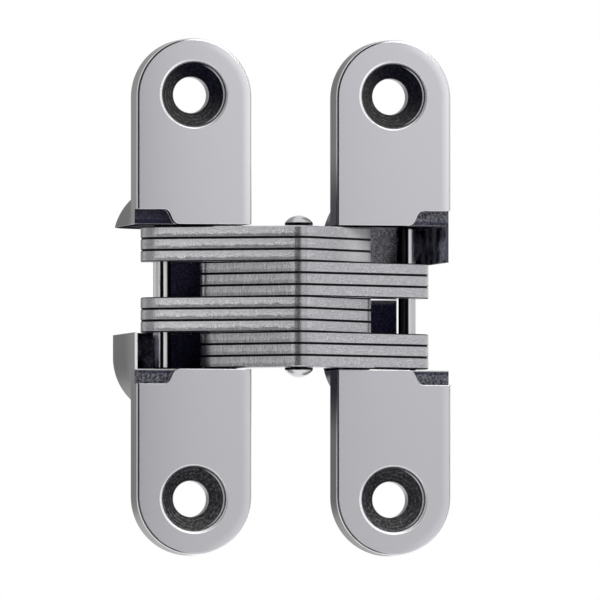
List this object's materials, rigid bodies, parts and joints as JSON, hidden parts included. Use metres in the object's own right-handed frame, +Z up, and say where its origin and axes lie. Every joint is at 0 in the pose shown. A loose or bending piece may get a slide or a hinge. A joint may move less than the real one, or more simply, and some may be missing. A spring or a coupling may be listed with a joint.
{
  "type": "concealed hinge",
  "caption": "Concealed door hinge: two round-ended recessed leaves with countersunk screw holes, joined by crossed packs of flat links on a domed centre pin; folds from flat open to shut.",
  "frame": {"origin": "middle of the left leaf's two screw holes, on the back of its flange, where the leaf seats in the door frame", "axes": "+Z up along the hinge's length, +X from the left leaf to the right leaf with the hinge open flat, +Y from the leaf faces into the wood"},
  "size_m": [0.0434, 0.0276, 0.0698],
  "materials": {
    "casting": "satin chrome plated die casting",
    "link": "satin stamped steel",
    "pin": "drawn steel"
  },
  "bodies": {
    "left_leaf": {"left_housing": "casting", "left_pivot_pin": "pin"},
    "left_links": {"left_link_4": "link", "left_link_5": "link", "left_link_6": "link", "left_link_10": "link", "left_link_11": "link", "left_link_12": "link", "right_slide_pin": "pin", "centre_pin": "pin"},
    "right_links": {"right_link_1": "link", "right_link_2": "link", "right_link_3": "link", "right_link_7": "link", "right_link_8": "link", "right_link_9": "link", "left_slide_pin": "pin"},
    "right_leaf": {"right_housing": "casting", "right_pivot_pin": "pin"}
  },
  "joints": [
    {"name": "left_pivot", "type": "hinge", "parent": "left_leaf", "child": "left_links", "pos_m": [0.0049, 0.0014, 0], "axis": [0, 0, -1], "range_deg": [0, 106.53]},
    {"name": "centre_pivot", "type": "hinge", "parent": "left_links", "child": "right_links", "pos_m": [0.0138, -0.0068, 0], "axis": [0, 0, -1], "range_deg": [-33.05, 0]},
    {"name": "right_pivot", "type": "hinge", "parent": "right_links", "child": "right_leaf", "pos_m": [0.0227, 0.0014, 0], "axis": [0, 0, -1], "range_deg": [0, 106.53]}
  ],
  "couplings": [
    {"joint": "centre_pivot", "follows": "left_pivot", "ratio": -0.31026},
    {"joint": "right_pivot", "follows": "left_pivot", "ratio": 1}
  ]
}
